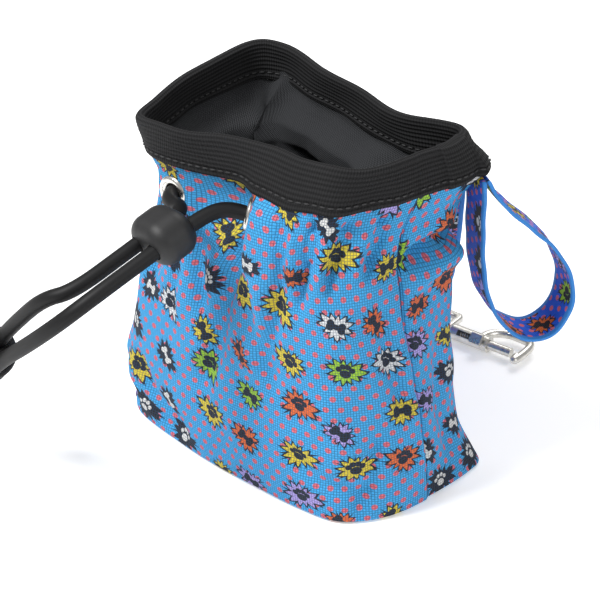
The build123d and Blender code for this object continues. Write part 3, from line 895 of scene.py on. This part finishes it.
def make_knot(material):
    """The wraps of the overhand knot round both strands, with its crossing turn."""
    a = unit(KNOT_AXIS)
    side = np.array((0.05, 1, 0.02))
    side = unit(side - a * (side @ a))
    other = np.cross(a, side)
    t = np.linspace(0, 1, 220)
    turn = t * KNOT_TURNS * tau + 0.6
    ease = smooth(t * 6) * smooth((1 - t) * 6)
    radius = 3.2 + 2.75 * ease
    run = (t - 0.5) * KNOT_LENGTH + 1.6 * np.sin(turn) * ease
    path = (KNOT_CENTRE + a * run[:, None] + side * (np.cos(turn) * radius * 1.03)[:, None]
            + other * (np.sin(turn) * radius * 0.97)[:, None])
    rings = tube(path, KNOT_CORD_R, 20)
    around = np.linspace(0, tau * CORD_R, 21)
    piece = add_grid("cord_tie", rings, around, distances(path), material)
    place_piece(piece, "pouch", "elastic_cord", "cord_knot")
    return piece


# ---- ribbons ---------------------------------------------------------------------------------
UP = np.array((0, 0, 1))
LOOP_ORIGIN = np.array((45.4, 31.8, 0))
LOOP_OUT = np.array((0.47, 0.883, 0))
LOOP_WIDE = np.array((0.883, -0.47, 0))
# along the loop: outward of its root, and height
LOOP_PATH = [(0.8, 104.4), (5, 97), (10.5, 90.8), (17.5, 84), (23.5, 78), (28.3, 71), (31.6, 62.5),
             (31.8, 54), (28.5, 47), (23.5, 43.6), (17.5, 43.8), (11, 47.8), (6.3, 54), (3, 61),
             (0.9, 70), (-0.2, 80), (-0.5, 91), (-0.6, 104.4)]
RIBBON_WIDTH = 15.0
RIBBON_THICK = 1.1
RIBBON_PRINT_START = 40     # where on the print a ribbon begins


def spline_through(points, count):
    """Even points along a Catmull-Rom curve through points, and their distance along it."""
    p = np.array(points, float)
    p = np.concatenate([2 * p[:1] - p[1:2], p, 2 * p[-1:] - p[-2:-1]])
    f = np.linspace(0, 1, 24, endpoint=False)[:, None]
    fine = [catmull_blend(p[i:i + 4], f) for i in range(len(p) - 3)]
    fine = np.concatenate(fine + [p[-2:-1]])
    run = distances(fine)
    at = np.linspace(0, run[-1], count)
    return np.stack([np.interp(at, run, fine[:, k]) for k in range(fine.shape[1])], 1), at


def ribbon(name, centres, across, run, material, body, node):
    """A flat ribbon, a little bowed and curled at its edges."""
    width = np.linspace(-RIBBON_WIDTH / 2, RIBBON_WIDTH / 2, 13)
    grid = centres[:, None] + across[:, None] * width[None, :, None]
    lift = np.cross(np.gradient(centres, axis=0), across)
    lift /= np.linalg.norm(lift, axis=1, keepdims=True)
    bow = 0.25 * np.cos(width / RIBBON_WIDTH * pi) * np.sin(run * 0.21)[:, None]
    curl = 0.12 * np.sin(run * 0.5)[:, None] * np.sign(width) * (np.abs(width) > 5)
    grid = grid + lift[:, None] * (bow + curl)[..., None]
    piece = add_grid(name, grid.transpose(1, 0, 2), run + RIBBON_PRINT_START, width, material,
                     closed=False)
    thick = piece.modifiers.new("thickness", "SOLIDIFY")
    thick.thickness = RIBBON_THICK * MM
    thick.offset = 0
    place_piece(piece, body, "ribbon", node)


def make_loop(material):
    """The hanging loop."""
    path, run = spline_through(LOOP_PATH, 150)
    centres = LOOP_ORIGIN + LOOP_OUT * path[:, :1] + UP * path[:, 1:]
    across = np.repeat(LOOP_WIDE[None], len(run), 0)
    ribbon("ribbon_loop", centres, across, run, material, "loop", "hang_loop")


STRAP_ROOT = np.array((31.5, 31.4, 104.4))
EYE_BAR = np.array((-14, 79, 3.2))
CLIP_YAW = radians(8)
BIGHT_R = 2.1               # the ribbon's turn round the bar
STRAP_SAG = 6


def make_strap(material):
    """The clip's ribbon, which turns as it falls and goes round the swivel eye's bar."""
    bar = np.array((-sin(CLIP_YAW), cos(CLIP_YAW), 0))
    out = np.array((cos(CLIP_YAW), sin(CLIP_YAW), 0))
    root_axis = unit(np.array((0.94, 0.35, 0)))
    foot = EYE_BAR + np.array((0.6, -0.3, 2.1))
    t = np.linspace(0, 1, 90)[:, None]
    down = STRAP_ROOT * (1 - t) + foot * t - STRAP_SAG * UP * np.sin(t * pi)
    turn = np.linspace(0.45 * pi, 1.55 * pi, 24)[1:, None]
    bight = EYE_BAR + BIGHT_R * (np.cos(turn) * out + np.sin(turn) * UP)
    centres = np.concatenate([down, bight])
    wide = np.concatenate([root_axis * (1 - t) + bar * t, np.repeat(bar[None], len(bight), 0)])
    wide = wide / np.linalg.norm(wide, axis=1, keepdims=True)
    ribbon("ribbon_strap", centres, wide, distances(centres), material, "strap", "clip_strap")


# ---- the scene -------------------------------------------------------------------------------
make_camera()
make_studio()
braid = braid_cloth()
satin = ribbon_cloth()
black_thread = thread("black_thread", srgb(0.2, 0.2, 0.205))

make_cloth(printed_cloth())
make_lining(lining_cloth())
make_tape(tape_cloth())
make_stitches("stitches_outside", STITCH_OUTSIDE, black_thread)
make_stitches("stitches_inside", STITCH_INSIDE, black_thread)
knot = make_knot(braid)
left_cord = make_cord("left_cord", strand(LEFT_INSIDE, LEFT_BEFORE, LEFT_AFTER, -1),
                      "draw_cord_left", braid)
right_cord = make_cord("right_cord", strand(RIGHT_INSIDE, RIGHT_BEFORE, RIGHT_AFTER, 1),
                       "draw_cord_right", braid)
make_loop(satin)
make_strap(satin)

# the CAD nodes that are kept, with their finishes
FINISHES = {
    nickel("nickel_trim", 0.22): ("eyelet_left", "eyelet_right",
                                  "eyelet_washer_left", "eyelet_washer_right"),
    nickel("nickel_cast", 0.27): ("swivel_eye", "snap_body", "snap_bolt"),
    nickel("spring_wire", 0.3): ("bolt_spring",),
    lock_rubber(): ("cord_lock",),
    braid: ("draw_cord_loop",),
}
for finish, names in FINISHES.items():
    for name in names:
        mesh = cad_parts[name].data
        mesh.materials.clear()
        mesh.materials.append(finish)

bpy.context.view_layer.update()
